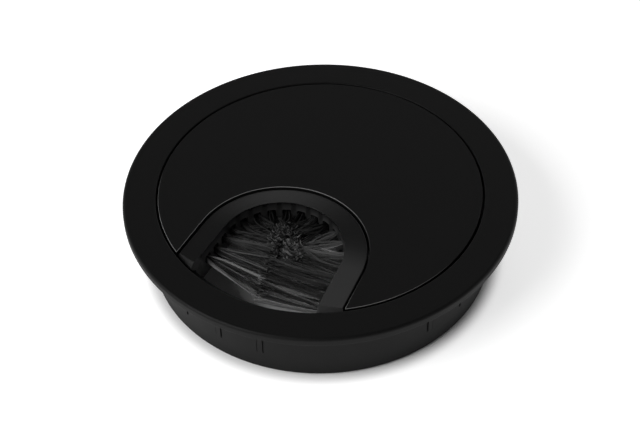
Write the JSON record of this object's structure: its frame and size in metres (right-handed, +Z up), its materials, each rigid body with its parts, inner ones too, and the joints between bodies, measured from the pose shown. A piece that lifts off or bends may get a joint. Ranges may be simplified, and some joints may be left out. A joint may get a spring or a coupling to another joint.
{
  "type": "brush cable grommet",
  "caption": "Round desk cable grommet: flanged liner, flush cover and a U-shaped mouth lined with bristles that close round the cables.",
  "frame": {"origin": "on the axis of the grommet, level with the bottom rim of the sleeve", "axes": "+Z up out of the desk along the axis, the mouth opens towards -Y, +X to the right seen from the mouth"},
  "size_m": [0.089, 0.089, 0.0185],
  "materials": {
    "liner": "matt black powder coat on die-cast zinc",
    "cover": "matt black powder coat on die-cast zinc",
    "holder": "satin black moulded plastic",
    "bristle": "black nylon filament, slightly glossy",
    "screw": "black zinc plated steel"
  },
  "bodies": {
    "root": {"liner": "liner", "cover": "cover", "brush_holder": "holder", "arc_tuft_1": "bristle", "arc_tuft_2": "bristle", "arc_tuft_3": "bristle", "arc_tuft_4": "bristle", "arc_tuft_5": "bristle", "arc_tuft_6": "bristle", "arc_tuft_7": "bristle", "arc_tuft_8": "bristle", "arc_tuft_9": "bristle", "arc_tuft_10": "bristle", "arc_tuft_11": "bristle", "arc_tuft_12": "bristle", "left_tuft_1": "bristle", "left_tuft_2": "bristle", "left_tuft_3": "bristle", "right_tuft_1": "bristle", "right_tuft_2": "bristle", "right_tuft_3": "bristle", "right_tuft_4": "bristle", "screw_1": "screw", "screw_2": "screw", "screw_3": "screw"}
  },
  "joints": []
}
